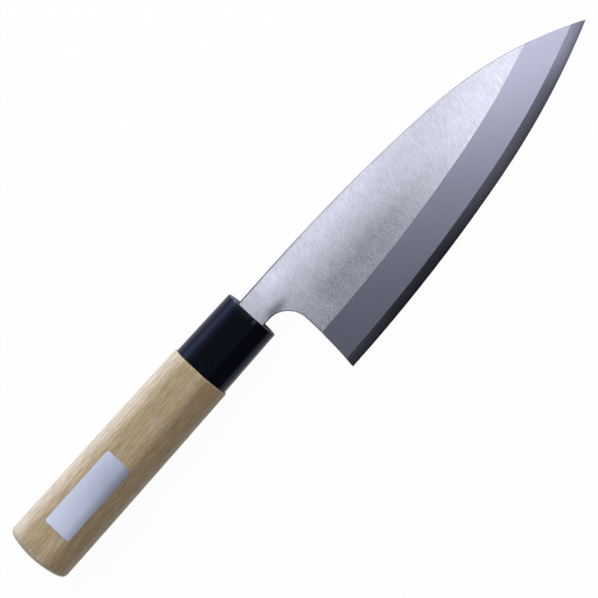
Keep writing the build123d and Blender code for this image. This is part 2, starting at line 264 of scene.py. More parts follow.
def surface(name, points, ring_along=False):
    """Closed mesh over a grid of points in the knife's own frame, in millimetres.

    Each row of the grid is a closed ring. With ring_along the last row joins the first, and
    otherwise one flat face closes each end. Faces are turned outwards by the sign of the volume:
    the sum of corner products over the quads.
    """
    rows, columns = points.shape[:2]
    row = np.arange(rows if ring_along else rows - 1)[:, None]
    column = np.arange(columns)[None, :]
    next_row, next_column = (row + 1) % rows, (column + 1) % columns
    quads = np.stack([
        row * columns + column, row * columns + next_column,
        next_row * columns + next_column, next_row * columns + column,
    ], axis=-1).reshape(-1, 4)
    flat = points.reshape(-1, 3)
    a, b, c, d = (flat[quads[:, corner]] for corner in range(4))
    volume = (np.cross(b - a, c - a) * a).sum() + (np.cross(c - a, d - a) * a).sum()
    caps = [] if ring_along else [np.arange(columns)[::-1], np.arange(columns) + (rows - 1) * columns]
    faces = [list(face) for face in quads] + [list(cap) for cap in caps]
    if volume < 0:
        faces = [face[::-1] for face in faces]
    mesh = bpy.data.meshes.new(name)
    mesh.from_pydata(in_world(flat), [], faces)
    mesh.shade_smooth()
    mesh.set_sharp_from_angle(angle=CREASE)
    piece = bpy.data.objects.new(name, mesh)
    bpy.context.scene.collection.objects.link(piece)
    print(f"{name}: {rows} rows of {columns} points, turned over: {volume < 0}")
    return piece


# %% D-shaped rings
RIDGE_RUN = 2.4                        # mm of rounding along each face beside the ridge
RIDGE_LIMIT_SHARE = 0.8                # of the shorter face, the most that the rounding takes
SPINE_FACE_SLOPE = radians(13)         # how far each face tilts from level
EDGE_FACE_SLOPE = radians(27)
AXIS_Z = 3.25                          # handle's axis over the blade's flat back
UNDERSIDE_POINTS, CHEEK_POINTS, FACE_POINTS, RIDGE_POINTS = 56, 16, 10, 10     # of each stretch


def shares(count):
    """Even shares from 0 up to, but without, 1, as a row."""
    return (np.arange(count) / count)[None, :]


def d_rings(x, width, thickness, ridge_share):
    """Rings of the D-shaped section, one for each x.

    Underside: half an ellipse. Each side then rises upright and bends over in an arc that runs
    tangent into a flat face, and the two flat faces meet in an arc over the ridge.
    """
    values = map(np.atleast_1d, (x, width, thickness, ridge_share))
    x, width, thickness, ridge_share = np.broadcast_arrays(*values)
    x, half_width, half_thickness = x[:, None], width[:, None] / 2, thickness[:, None] / 2
    ridge = -ridge_share[:, None] * width[:, None]
    under = np.pi * (1 + shares(UNDERSIDE_POINTS))
    pieces = [(half_width * np.cos(under), half_thickness * np.sin(under))]
    cheeks, touches = [], []
    for side, slope in ((1, SPINE_FACE_SLOPE), (-1, EDGE_FACE_SLOPE)):
        span = half_width - side * ridge
        radius = (half_thickness * cos(slope) - span * sin(slope)) / (1 - sin(slope))
        middle = side * (half_width - radius)
        rise = (np.pi / 2 - slope) * shares(CHEEK_POINTS)
        angle = rise if side > 0 else np.pi / 2 + slope + rise
        cheeks.append((middle + radius * np.cos(angle), radius * np.sin(angle)))
        touches.append((middle + side * radius * sin(slope), radius * cos(slope)))
    faces = [np.hypot(y - ridge, z - half_thickness) for y, z in touches]
    run = np.minimum(RIDGE_RUN, RIDGE_LIMIT_SHARE * np.minimum(*faces))
    ends = [
        (ridge + run * cos(SPINE_FACE_SLOPE), half_thickness - run * sin(SPINE_FACE_SLOPE)),
        (ridge - run * cos(EDGE_FACE_SLOPE), half_thickness - run * sin(EDGE_FACE_SLOPE)),
    ]
    ridge_radius = run / tan((SPINE_FACE_SLOPE + EDGE_FACE_SLOPE) / 2)
    angle = np.pi / 2 - SPINE_FACE_SLOPE + (SPINE_FACE_SLOPE + EDGE_FACE_SLOPE) * shares(RIDGE_POINTS)
    over_y = ends[0][0] + ridge_radius * (np.cos(angle) - sin(SPINE_FACE_SLOPE))
    over_z = ends[0][1] + ridge_radius * (np.sin(angle) - cos(SPINE_FACE_SLOPE))
    along = shares(FACE_POINTS)
    spine_face = [t + (e - t) * along for t, e in zip(touches[0], ends[0])]
    edge_face = [e + (t - e) * along for t, e in zip(touches[1], ends[1])]
    pieces += [cheeks[0], spine_face, (over_y, over_z), edge_face, cheeks[1]]
    y = np.concatenate([piece[0] for piece in pieces], axis=1)
    z = np.concatenate([piece[1] for piece in pieces], axis=1) + AXIS_Z
    return np.stack([np.broadcast_to(x, y.shape), y, z], axis=-1)


ring_points = UNDERSIDE_POINTS + 2 * CHEEK_POINTS + 2 * FACE_POINTS + RIDGE_POINTS
print("points on each ring:", ring_points)

# %% [markdown]
# ## Wooden grip
# The grip is turned and planed from ho, a light magnolia, then sanded. It swells a little towards
# the butt, whose end is domed with a well rounded rim. In front it has a square shoulder and a
# tenon for the ring, and the hole that the tang is burned into. All of that is one surface that
# starts in the middle of the butt, runs over the outside, turns in at the shoulder and the tenon
# and ends at the bottom of the hole.

# %% Grip surface
HANDLE_LENGTH, FERRULE_LENGTH = 131.9, 30.7                      # mm, as all sizes here
SHOULDER_X, BUTT_X = -FERRULE_LENGTH, -HANDLE_LENGTH
WIDTHS, THICKNESSES = (27.0, 28.1, 28.8), (21.0, 21.9, 22.6)     # shoulder, waist and butt
RIDGE_FRONT_SHARE, RIDGE_BUTT_SHARE = 0.13, 0.18                 # of the width, off the axis
FERRULE_STEP, FERRULE_TAPER, FERRULE_WALL, FERRULE_FIT = 0.75, 0.5, 2.0, 0.05
SHOULDER_EASE, BUTT_EASE, BUTT_DOME_RADIUS = 0.5, 2.4, 40.0
TENON_RECESS, TENON_EASE = 0.3, 0.2
NECK_DEPTH, SPINE_RISE, SPINE_THICKNESS = 13.4, 7.0, 6.5
TANG_SHOULDER, TANG_LENGTH, TANG_END_DEPTH, TANG_END_THICKNESS = 3.0, 92.0, 6.0, 2.6
BEDDING_GAP, BEDDING_TOE = 0.8, 3.0
SQUARENESS = 8                         # power of the hole's rounded rectangle
DOME_SHARES = np.array([0.03, 0.15, 0.3, 0.45, 0.6, 0.75, 0.88, 1.0])     # of the way to the rim
SHOULDER_TURN_SHARES = np.array([0.33, 0.67, 1.0])                         # of a quarter turn
RIM_ROWS, BODY_ROWS, HOLE_ROWS = 9, 60, 12
BODY_START = 6.0                       # the long stretch starts this far from the butt


def grip_sizes(x):
    """Width, thickness and the ridge's share of the width at x.

    Width and thickness follow a parabola through three places, the share a straight line.
    """
    places = (SHOULDER_X, (SHOULDER_X + BUTT_X) / 2, BUTT_X)
    width, thickness = (np.polyval(np.polyfit(places, sizes, 2), x) for sizes in (WIDTHS, THICKNESSES))
    back = (x - SHOULDER_X) / (BUTT_X - SHOULDER_X)
    return width, thickness, RIDGE_FRONT_SHARE + (RIDGE_BUTT_SHARE - RIDGE_FRONT_SHARE) * back


def grip_rings(x, inset=0.0):
    """Rings of the grip's outside, or inside it by the inset."""
    width, thickness, ridge_share = grip_sizes(x)
    return d_rings(x, width - 2 * inset, thickness - 2 * inset, ridge_share)


def ferrule_rings(x, inset):
    """Rings of the ferrule's outside, or inside it by the inset: it tapers evenly to its front."""
    smaller = 2 * (FERRULE_STEP + FERRULE_TAPER * (x - SHOULDER_X) / FERRULE_LENGTH + inset)
    return d_rings(x, WIDTHS[0] - smaller, THICKNESSES[0] - smaller, RIDGE_FRONT_SHARE)


def hole_rings(x, guide):
    """Rings of the burned hole: a rounded rectangle met along the guide ring's directions.

    In polar form its radius is (|cos / half depth|^n + |sin / half thickness|^n)^(-1/n).
    """
    share = (-TANG_SHOULDER - x) / (TANG_LENGTH - TANG_SHOULDER)
    half_depth = (NECK_DEPTH + (TANG_END_DEPTH - NECK_DEPTH) * share) / 2 + BEDDING_GAP
    half_thick = (SPINE_THICKNESS + (TANG_END_THICKNESS - SPINE_THICKNESS) * share) / 2 + BEDDING_GAP
    middle = (SPINE_RISE - NECK_DEPTH / 2) * (1 - share)
    angle = np.arctan2(guide[:, 2] - AXIS_Z, guide[:, 1])[None, :]
    powers = abs(np.cos(angle) / half_depth[:, None]) ** SQUARENESS
    powers = powers + abs(np.sin(angle) / half_thick[:, None]) ** SQUARENESS
    radius = powers ** (-1 / SQUARENESS)
    y = middle[:, None] + radius * np.cos(angle)
    z = AXIS_Z + radius * np.sin(angle)
    return np.stack([np.broadcast_to(x[:, None], y.shape), y, z], axis=-1)


def dome_x(ring):
    """Place of the domed end over each point: a sphere about the handle's axis."""
    off_axis = ring[..., 1] ** 2 + (ring[..., 2] - AXIS_Z) ** 2
    return BUTT_X + BUTT_DOME_RADIUS - np.sqrt(BUTT_DOME_RADIUS**2 - off_axis)


def butt_end():
    """Dome from its middle outwards, then the rounded rim: a quarter turn from dome to side."""
    rim = grip_rings(np.array([BUTT_X + BUTT_EASE]), BUTT_EASE)
    middle = np.array([0, 0, AXIS_Z])
    dome = middle + (rim - middle) * DOME_SHARES[:, None, None]
    dome[..., 0] = dome_x(dome)
    turn = radians(90) * (1 - np.arange(1, RIM_ROWS + 1) / RIM_ROWS)
    rounding = grip_rings(np.full(turn.shape, BUTT_X + BUTT_EASE), BUTT_EASE * (1 - np.cos(turn)))
    rounding[..., 0] = dome_x(rim) + BUTT_EASE * (1 - np.sin(turn))[:, None]
    return np.concatenate([dome, rounding])


body_x = np.linspace(BUTT_X + BODY_START, SHOULDER_X - SHOULDER_EASE, BODY_ROWS)
turn = radians(90) * SHOULDER_TURN_SHARES
shoulder_x = SHOULDER_X - SHOULDER_EASE * (1 - np.sin(turn))
shoulder = grip_rings(shoulder_x, SHOULDER_EASE * (1 - np.cos(turn)))
tenon_x = np.array([SHOULDER_X, -TENON_RECESS - TENON_EASE, -TENON_RECESS])
tenon_inset = FERRULE_WALL + FERRULE_FIT + np.array([0, 0, TENON_EASE])
tenon = ferrule_rings(tenon_x, tenon_inset)
hole_x = np.linspace(-TENON_RECESS, -TANG_LENGTH - BEDDING_TOE, HOLE_ROWS)
hole = hole_rings(hole_x, tenon[-1])
grip = surface("ho_wood_grip", np.concatenate([butt_end(), grip_rings(body_x), shoulder, tenon, hole]))

# %% [markdown]
# ## Ferrule
# The ring is moulded plastic, a little slimmer than the wood behind it, with its corners just
# broken. Its section is a closed loop, outside, front, bore and back, so the grid closes both ways.

# %% Ferrule surface
FERRULE_EASE, BACK_EASE, BORE_EASE = 0.35, 0.15, 0.15     # mm, its corners are just broken
FERRULE_ROWS, FERRULE_TURN_ROWS = 12, 4

outside_x = np.linspace(SHOULDER_X + BACK_EASE, -FERRULE_EASE, FERRULE_ROWS)
turn = radians(90) * np.arange(1, FERRULE_TURN_ROWS + 1) / FERRULE_TURN_ROWS
front_x = -FERRULE_EASE * (1 - np.sin(turn))
front_inset = FERRULE_EASE * (1 - np.cos(turn))
bore_x = np.array([0, -BORE_EASE, SHOULDER_X])
bore_inset = FERRULE_WALL + np.array([-BORE_EASE, 0, 0])
ferrule = surface("plastic_ferrule", np.concatenate([
    ferrule_rings(outside_x, 0), ferrule_rings(front_x, front_inset),
    ferrule_rings(bore_x, bore_inset), ferrule_rings(np.array([SHOULDER_X]), BACK_EASE),
]), ring_along=True)

# %% [markdown]
# ## Label
# A thin bare film is stuck over the ridge near the butt. It could be a flat sheet shrunk onto the
# wood, but it follows two flat faces and the ridge between them, which have a formula already. So
# its height is that of the wood under it plus its own thickness, and its corners are rounded.

# %% Label surface
LABEL_LENGTH, LABEL_WIDTH, LABEL_CORNER, LABEL_THICKNESS = 38.0, 12.8, 1.0, 0.15     # mm
LABEL_FROM_BUTT, LABEL_RISE = 15.8, 0.45                  # mm, its place
LABEL_GLUE = 0.005                     # mm between wood and film
CORNER_ROWS, LABEL_ROWS, LABEL_COLUMNS = 7, 40, 41


def wood_top(x, y):
    """Height of the grip's upper side: two sloping faces, and the arc between them at the ridge."""
    width, thickness, ridge_share = grip_sizes(x)
    ridge = -ridge_share * width
    top = AXIS_Z + thickness / 2
    faces = top - np.where(
        y > ridge, (y - ridge) * tan(SPINE_FACE_SLOPE), (ridge - y) * tan(EDGE_FACE_SLOPE))
    arc_start = ridge - RIDGE_RUN * cos(EDGE_FACE_SLOPE)
    arc_end = ridge + RIDGE_RUN * cos(SPINE_FACE_SLOPE)
    radius = RIDGE_RUN / tan((SPINE_FACE_SLOPE + EDGE_FACE_SLOPE) / 2)
    middle_y = arc_end - radius * sin(SPINE_FACE_SLOPE)
    middle_z = top - RIDGE_RUN * sin(SPINE_FACE_SLOPE) - radius * cos(SPINE_FACE_SLOPE)
    arc = middle_z + np.sqrt(np.maximum(radius**2 - (y - middle_y) ** 2, 0))
    return np.where((y > arc_start) & (y < arc_end), arc, faces)


def label_layers():
    """Rows from end to end, each a closed ring over the top and back under the film.

    Near the ends the half width follows the rounded corner: corner - sqrt(corner^2 - d^2) less,
    where d is how far the row has come into the corner.
    """
    corner_steps = LABEL_CORNER * (1 - np.cos(np.linspace(0, np.pi / 2, CORNER_ROWS)))
    half = LABEL_LENGTH / 2
    inner = np.linspace(-half + LABEL_CORNER, half - LABEL_CORNER, LABEL_ROWS)[1:-1]
    along = np.concatenate([-half + corner_steps, inner, (half - corner_steps)[::-1]])
    into = np.maximum(abs(along) - (half - LABEL_CORNER), 0)
    half_width = LABEL_WIDTH / 2 - (LABEL_CORNER - np.sqrt(LABEL_CORNER**2 - into**2))
    across = np.linspace(-1, 1, LABEL_COLUMNS)
    x = np.broadcast_to((BUTT_X + LABEL_FROM_BUTT + half + along)[:, None], (along.size, across.size))
    y = LABEL_RISE + half_width[:, None] * across[None, :]
    under = wood_top(x, y)
    top, bottom = (np.stack([x, y, under + lift], axis=-1) for lift in (LABEL_THICKNESS, LABEL_GLUE))
    return np.concatenate([top, bottom[:, ::-1]], axis=1)


label = surface("label_film", label_layers())

# %% [markdown]
# ## Patterns
# Wood fibres, grinding lines and scratches are all the same thing to a shader: noise drawn out
# along a line. Masks come from where a point lies and from which way its surface faces.

# %% Drawn-out noise and facing
def drawn_noise(tree, where, across, along, turn=0.0, seed=0.0, detail=3.0, roughness=0.55):
    """Noise whose features are across by along mm, drawn out along X turned by an angle."""
    turned = add(tree, "ShaderNodeMapping", {"Vector": where, "Rotation": (0, 0, -turn)})
    drawn = add(tree, "ShaderNodeMapping", {
        "Vector": turned, "Location": (seed, seed, seed), "Scale": (1 / along, 1 / across, 1 / across),
    })
    return add(tree, "ShaderNodeTexNoise", {
        "Vector": drawn, "Scale": 1.0, "Detail": detail, "Roughness": roughness,
    })


def facing(tree, axis):
    """How squarely the surface faces an axis of the knife's own frame: the normal's share along it."""
    normal = add(tree, "ShaderNodeTexCoord").outputs["Normal"]
    dot = add(tree, "ShaderNodeVectorMath", {0: normal, 1: axis}, operation="DOT_PRODUCT")
    return dot.outputs["Value"]


print("the spine faces, in the model's frame:", [round(value, 3) for value in Y_AXIS])

# %% [markdown]
# ## Ho wood
# Ho is a close-grained magnolia, cream with a touch of green. Sanded and left bare it is nearly
# dull, with fine fibres, short dark pores and broad soft bands of ochre. Painted highlights make it
# paler beside the ridge and nearly white on the cheek towards the spine, painted shade makes all
# but the spine side darker and greener, and painted light makes the face towards the edge lighter
# and warmer. A picture of wood wrapped round the handle would stretch over its cheeks.
# Noise that fills the knife's own frame is cut by the surface instead, as real grain is.

# %% Colour along the grain
FIBRE_ACROSS, FIBRE_ALONG = 0.7, 9.0       # mm, drawn coarser than real fibres so that they show
GRAIN_ACROSS, GRAIN_ALONG = 0.34, 7.0      # mm of the sanded grain, as coarse as it needs to show
PORE_ACROSS, PORE_ALONG = 0.36, 3.0        # mm of the dark pores, cut open by the plane
BAND_ACROSS, BAND_ALONG = 4.5, 24.0        # mm of the ochre bands
PATCH_ACROSS, PATCH_ALONG = 3.0, 8.0       # mm of the pale patches of painted highlight
HIGHLIGHT_Y, HIGHLIGHT_CORE, HIGHLIGHT_WIDTH = -2.2, 1.0, 6.0      # mm, most of them lie along this line
SPECKLE_SHARE = 0.2                        # how much the dots of cut pores show along the grain
PAINTED_LIGHT_AND_SHADE_ACROSS = (                          # from and to on Y in mm, greatest share, colour
    (6.5, 3.0, 0.35, "9A8A63"),            # painted shade, darker and greener everywhere but by the spine
    (-2.5, -7.0, 0.6, "C8AB86"),           # painted light, lighter and warmer down the face towards the edge
)


def wood_colour(tree, where, at, fibres, pores, speckle):
    """Cream fibres, ochre and painted light, shade and highlights mixed in by their shares, then the
    fine grain times all of it, and pores.
    """
    colour = add(tree, "ShaderNodeValToRGB", {0: fibres}, stops=(
        (0.30, "A99670"), (0.45, "B2A17A"), (0.58, "B8A782"), (0.75, "C0B090")))
    bands = drawn_noise(tree, where, BAND_ACROSS, BAND_ALONG, seed=23, detail=2)
    ochre = add(tree, "ShaderNodeMapRange", {
        "Value": bands, "From Min": 0.42, "From Max": 0.66, "To Max": 0.5})
    # Painted highlight: pale grey patches along a line beside the ridge.
    patches = drawn_noise(tree, where, PATCH_ACROSS, PATCH_ALONG, seed=31, detail=4, roughness=0.7)
    painted_highlight = add(tree, "ShaderNodeMapRange", {
        "Value": patches, "From Min": 0.44, "From Max": 0.62, "To Max": 0.9})
    off_line = add(tree, "ShaderNodeMath", {0: at.outputs["Y"], 1: HIGHLIGHT_Y}, operation="SUBTRACT")
    off_line = add(tree, "ShaderNodeMath", {0: off_line}, operation="ABSOLUTE")
    near_line = add(tree, "ShaderNodeMapRange", {
        "Value": off_line, "From Min": HIGHLIGHT_CORE, "From Max": HIGHLIGHT_WIDTH,
        "To Min": 1.0, "To Max": 0.2}, interpolation_type="SMOOTHSTEP")
    painted_highlight = add(tree, "ShaderNodeMath", {0: painted_highlight, 1: near_line}, operation="MULTIPLY")
    tints = [(ochre, "A68F60"), (painted_highlight, "C0AF9F")]
    # Painted shade below the spine side, and painted light on the face towards the edge.
    for from_y, to_y, most, tint in PAINTED_LIGHT_AND_SHADE_ACROSS:
        share = add(tree, "ShaderNodeMapRange", {
            "Value": at.outputs["Y"], "From Min": from_y, "From Max": to_y, "To Max": most})
        tints.append((share, tint))
    # Painted highlight: the cheek that faces the spine is painted nearly white.
    painted_cheek_highlight = add(tree, "ShaderNodeMapRange", {
        "Value": facing(tree, Y_AXIS), "From Min": 0.22, "From Max": 0.90, "To Max": 0.58})
    tints.append((painted_cheek_highlight, "EBE3D9"))
    for share, tint in tints:
        colour = add(tree, "ShaderNodeMix", {0: share, 1: colour, 2: tint}, data_type="RGBA")
    grain = drawn_noise(tree, where, GRAIN_ACROSS, GRAIN_ALONG, seed=17)
    grain = add(tree, "ShaderNodeValToRGB", {0: grain}, stops=((0.34, "CDC9C0"), (0.60, "FFFFFF")))
    for share, darker in ((1.0, grain), (SPECKLE_SHARE, speckle)):
        colour = add(tree, "ShaderNodeMix", {
            0: share, 1: colour, 2: darker}, data_type="RGBA", blend_type="MULTIPLY")
    cut_open = add(tree, "ShaderNodeMapRange", {
        "Value": pores, "From Min": 0.54, "From Max": 0.72, "To Max": 0.45})
    return add(tree, "ShaderNodeMix", {0: cut_open, 1: colour, 2: "84704A"}, data_type="RGBA")


print("fibres drawn across the grip:", round(WIDTHS[0] / FIBRE_ACROSS))

# %% [markdown]
# ## The cut end
# On the end of the butt the same fibres are cut across, so what shows there is growth rings, with
# the pores as dots. Real rings run round the heart of the tree, which lies outside so small a
# piece. A wave of the distance from that line gives such arcs wherever the surface meets it.

# %% Colour across the grain
RING_SPACING = 2.2                         # mm between growth rings
WAVE_SPACING = 0.31                        # between the wave texture's rings at a scale of 1
TREE_HEART = (0.0, -9.0, -17.0)            # mm, a point of the line that the rings run round


def end_grain(tree, where, speckle):
    """Growth rings: a wave of the distance from the tree's heart, times the dots of cut pores."""
    heart = add(tree, "ShaderNodeMapping", {"Vector": where, "Location": tuple(-c for c in TREE_HEART)})
    rings = add(tree, "ShaderNodeTexWave", {
        "Vector": heart, "Scale": WAVE_SPACING / RING_SPACING,
        "Distortion": 5.0, "Detail": 1.0, "Detail Scale": 0.3,
    }, wave_type="RINGS", rings_direction="X").outputs["Fac"]
    rings = add(tree, "ShaderNodeValToRGB", {0: rings}, stops=(
        (0.1, "A38C5C"), (0.6, "B19C6C"), (0.95, "BBA879")))
    return add(tree, "ShaderNodeMix", {
        0: 1.0, 1: rings, 2: speckle}, data_type="RGBA", blend_type="MULTIPLY")


print("growth rings across the butt:", round(THICKNESSES[-1] / RING_SPACING))

# %% [markdown]
# ## The whole grip
# Handling has worn the rim of the butt paler, and the hot tang has charred the front of the
# tenon. Painted light turns that front pale grey towards the spine. Bare sanded wood scatters
# light, so it is rough, with a faint sheen of raised fibres.

# %% Wood material
RIM_START, RIM_WIDTH = 1.0, 4.0            # mm from the end, where the worn rim is palest and gone
CHAR_DEPTH = 2.0                           # mm of tenon, from its front, charred by the hot tang
SPINEWARD_LIGHT_FROM_Y, SPINEWARD_LIGHT_TO_Y = 2.0, 8.0        # mm, painted light turns the soot pale grey towards the spine


def wood_material():
    """Bare sanded magnolia: long grain, rings on the cut end, a paler rim and a charred front, painted
    pale grey towards the spine.
    """
    material, tree = new_material("ho_wood_sanded")
    where = knife_mm(tree)
    at = add(tree, "ShaderNodeSeparateXYZ", {0: where})
    fibres = drawn_noise(tree, where, FIBRE_ACROSS, FIBRE_ALONG, seed=4, detail=4)
    pores = drawn_noise(tree, where, PORE_ACROSS, PORE_ALONG, seed=11, detail=2)
    dots = add(tree, "ShaderNodeTexNoise", {"Vector": where, "Scale": 1 / GRAIN_ACROSS, "Detail": 2.0})
    speckle = add(tree, "ShaderNodeValToRGB", {0: dots}, stops=((0.34, "C4BFB4"), (0.60, "FFFFFF")))
    cut_across = add(tree, "ShaderNodeMapRange", {
        "Value": facing(tree, X_AXIS), "From Min": -0.92, "From Max": -0.6,
        "To Min": 1.0, "To Max": 0.0})
    worn = add(tree, "ShaderNodeMapRange", {
        "Value": at.outputs["X"], "From Min": BUTT_X + RIM_START, "From Max": BUTT_X + RIM_WIDTH,
        "To Min": 0.5, "To Max": 0.0}, interpolation_type="SMOOTHSTEP")
    charred = add(tree, "ShaderNodeMapRange", {
        "Value": at.outputs["X"], "From Min": -CHAR_DEPTH, "From Max": -TENON_RECESS})
    # Painted light: the charred front turns pale grey towards the spine.
    spineward_painted_light = add(tree, "ShaderNodeMapRange", {
        "Value": at.outputs["Y"], "From Min": SPINEWARD_LIGHT_FROM_Y, "From Max": SPINEWARD_LIGHT_TO_Y})
    soot = add(tree, "ShaderNodeMix", {0: spineward_painted_light, 1: "0E0C0A", 2: "77757C"}, data_type="RGBA")
    colour = wood_colour(tree, where, at, fibres, pores, speckle)
    rings = end_grain(tree, where, speckle)
    for share, other in ((cut_across, rings), (worn, "C9C2AE"), (charred, soot)):
        colour = add(tree, "ShaderNodeMix", {0: share, 1: colour, 2: other}, data_type="RGBA")
    height = add(tree, "ShaderNodeMath", {0: pores, 1: -0.6, 2: fibres}, operation="MULTIPLY_ADD")
    bump = add(tree, "ShaderNodeBump", {"Height": height, "Strength": 0.2, "Distance": 0.1 * MM})
    satin = add(tree, "ShaderNodeMapRange", {
        "Value": fibres, "From Min": 0.3, "From Max": 0.7, "To Min": 0.54, "To Max": 0.46})
    satin = add(tree, "ShaderNodeMath", {0: charred, 1: 0.4, 2: satin}, operation="MULTIPLY_ADD")
    shader = add(tree, "ShaderNodeBsdfPrincipled", {
        "Base Color": colour, "Roughness": satin, "IOR": 1.5, "Specular IOR Level": 0.45,
        "Sheen Weight": 0.1, "Sheen Roughness": 0.4, "Normal": bump})
    add(tree, "ShaderNodeOutputMaterial", {"Surface": shader})
    return material


grip.data.materials.append(wood_material())
print("grip material:", grip.data.materials[0].name)

# %% [markdown]
# ## Black plastic
# The ring is injection-moulded and left with its mould gloss. Such a surface is almost black by
# itself: what shows is the room in it, a little soft, and a few hair scratches. Over that lie
# painted reflection, bluish bands along the spine side and a narrow one on the edge side, and
# painted light on the front towards the spine. Otherwise the colour stays dark, and the gloss and
# the lamps do the rest.

# %% Ferrule material
RIPPLE = 9.0                               # mm between the faint waves of the moulding
SCRATCH_ACROSS, SCRATCH_ALONG = 0.35, 12.0     # mm, coarser than hair scratches so that they show
REFLECTION_FROM_Y, REFLECTION_TO_Y = 4.4, 9.0          # mm, painted reflection along the side towards the spine
EDGE_REFLECTION_FROM_Y, EDGE_REFLECTION_TO_Y = -9.0, -10.2            # mm, and a narrow strip on the other side


def ferrule_material():
    """Moulded black plastic: blue-black, glossy, rippled and lightly scratched, dull on its front, with
    painted reflection bands and painted light on the front.
    """
    material, tree = new_material("black_plastic_moulded")
    where = knife_mm(tree)
    ripple = drawn_noise(tree, where, RIPPLE, RIPPLE, seed=5, detail=1)
    scratches = drawn_noise(tree, where, SCRATCH_ACROSS, SCRATCH_ALONG, seed=7, detail=2)
    marks = add(tree, "ShaderNodeMapRange", {
        "Value": scratches, "From Min": 0.64, "From Max": 0.76, "To Max": 0.35})
    bump = add(tree, "ShaderNodeBump", {"Height": ripple, "Strength": 0.03, "Distance": 0.3 * MM})
    across = add(tree, "ShaderNodeSeparateXYZ", {0: where}).outputs["Y"]
    # Painted reflection: bluish bands on the spine side and a narrow strip on the edge side.
    haze_and_painted_reflection = add(tree, "ShaderNodeMapRange", {
        "Value": across, "From Min": REFLECTION_FROM_Y, "From Max": REFLECTION_TO_Y,
    }, interpolation_type="SMOOTHSTEP")
    edgeward_painted_reflection = add(tree, "ShaderNodeMapRange", {
        "Value": across, "From Min": EDGE_REFLECTION_FROM_Y, "From Max": EDGE_REFLECTION_TO_Y})
    painted_reflection_bands = add(tree, "ShaderNodeMath", {0: haze_and_painted_reflection, 1: edgeward_painted_reflection}, operation="MAXIMUM")
    cut_face = add(tree, "ShaderNodeMapRange", {
        "Value": facing(tree, X_AXIS), "From Min": 0.5, "From Max": 0.9})
    # Painted light: the ring's front face is pale grey towards the spine.
    spineward_painted_light = add(tree, "ShaderNodeMath", {0: cut_face, 1: haze_and_painted_reflection}, operation="MULTIPLY")
    colour = "080B0F"
    for share, tint in ((marks, "1C202C"), (painted_reflection_bands, "1B1F2C"), (spineward_painted_light, "5E606B")):
        colour = add(tree, "ShaderNodeMix", {0: share, 1: colour, 2: tint}, data_type="RGBA")
    rough = add(tree, "ShaderNodeMath", {0: marks, 1: 0.3, 2: 0.2}, operation="MULTIPLY_ADD")
    rough = add(tree, "ShaderNodeMath", {0: cut_face, 1: 0.35, 2: rough}, operation="MULTIPLY_ADD")
    shader = add(tree, "ShaderNodeBsdfPrincipled", {
        "Base Color": colour, "Roughness": rough, "IOR": 1.5, "Specular IOR Level": 0.21,
        "Specular Tint": "B4BFE8", "Normal": bump})
    add(tree, "ShaderNodeOutputMaterial", {"Surface": shader})
    return material


ferrule.data.materials.append(ferrule_material())
print("ferrule material:", ferrule.data.materials[0].name)

# %% [markdown]
# ## Label film and resin
# The label is a satin film, pale with a touch of blue and brighter towards the butt, with painted
# shade making it greyer down the face towards the edge. The resin that beds the tang is brown and
# dull, and only its front shows, deep in the mouth of the handle. Both are plain enough for two
# tones and a soft noise.

# %% Label and resin materials
FILM_HAZE = 2.5                            # mm of the film's faint clouds
FILM_SHADE_FROM_Y, FILM_SHADE_TO_Y = 7.5, -4.0              # mm
FILM_PALE_FROM_X, FILM_PALE_TO_X = -88.0, -114.0          # mm
RESIN_GRAIN = 0.4                          # mm


def label_material():
    """Bare film: pale and satin, with faint clouds from handling, painted shade towards the edge and
    brighter towards the butt.
    """
    material, tree = new_material("label_film_satin")
    where = knife_mm(tree)
    haze_and_painted_reflection = add(tree, "ShaderNodeTexNoise", {"Vector": where, "Scale": 1 / FILM_HAZE, "Detail": 3.0})
    colour = add(tree, "ShaderNodeValToRGB", {0: haze_and_painted_reflection}, stops=((0.3, "BCC3D3"), (0.7, "C5CCDC")))
    at = add(tree, "ShaderNodeSeparateXYZ", {0: where})
    # Painted shade: greyer down the face towards the edge.
    edgeward_painted_shade = add(tree, "ShaderNodeMapRange", {
        "Value": at.outputs["Y"], "From Min": FILM_SHADE_FROM_Y, "From Max": FILM_SHADE_TO_Y,
        "To Max": 0.8})
    buttward = add(tree, "ShaderNodeMapRange", {
        "Value": at.outputs["X"], "From Min": FILM_PALE_FROM_X, "From Max": FILM_PALE_TO_X,
        "To Max": 0.3})
    for share, tint in ((edgeward_painted_shade, "7F8495"), (buttward, "E2EAFA")):
        colour = add(tree, "ShaderNodeMix", {0: share, 1: colour, 2: tint}, data_type="RGBA")
    satin = add(tree, "ShaderNodeMapRange", {
        "Value": haze_and_painted_reflection, "From Min": 0.3, "From Max": 0.7, "To Min": 0.32, "To Max": 0.42})
    shader = add(tree, "ShaderNodeBsdfPrincipled", {
        "Base Color": colour, "Roughness": satin, "IOR": 1.47})
    add(tree, "ShaderNodeOutputMaterial", {"Surface": shader})
    return material


def resin_material():
    """Filled resin: dark brown, dull, a little grainy."""
    material, tree = new_material("bedding_resin")
    grains = add(tree, "ShaderNodeTexNoise", {
        "Vector": knife_mm(tree), "Scale": 1 / RESIN_GRAIN, "Detail": 3.0})
    brown = add(tree, "ShaderNodeValToRGB", {0: grains}, stops=((0.3, "17130E"), (0.7, "2B241B")))
    shader = add(tree, "ShaderNodeBsdfPrincipled", {
        "Base Color": brown, "Roughness": 0.55, "IOR": 1.55})
    add(tree, "ShaderNodeOutputMaterial", {"Surface": shader})
    return material


label.data.materials.append(label_material())
frame["nodes"]["tang_bedding"].material_slots[0].material = resin_material()
print("label material:", label.data.materials[0].name)

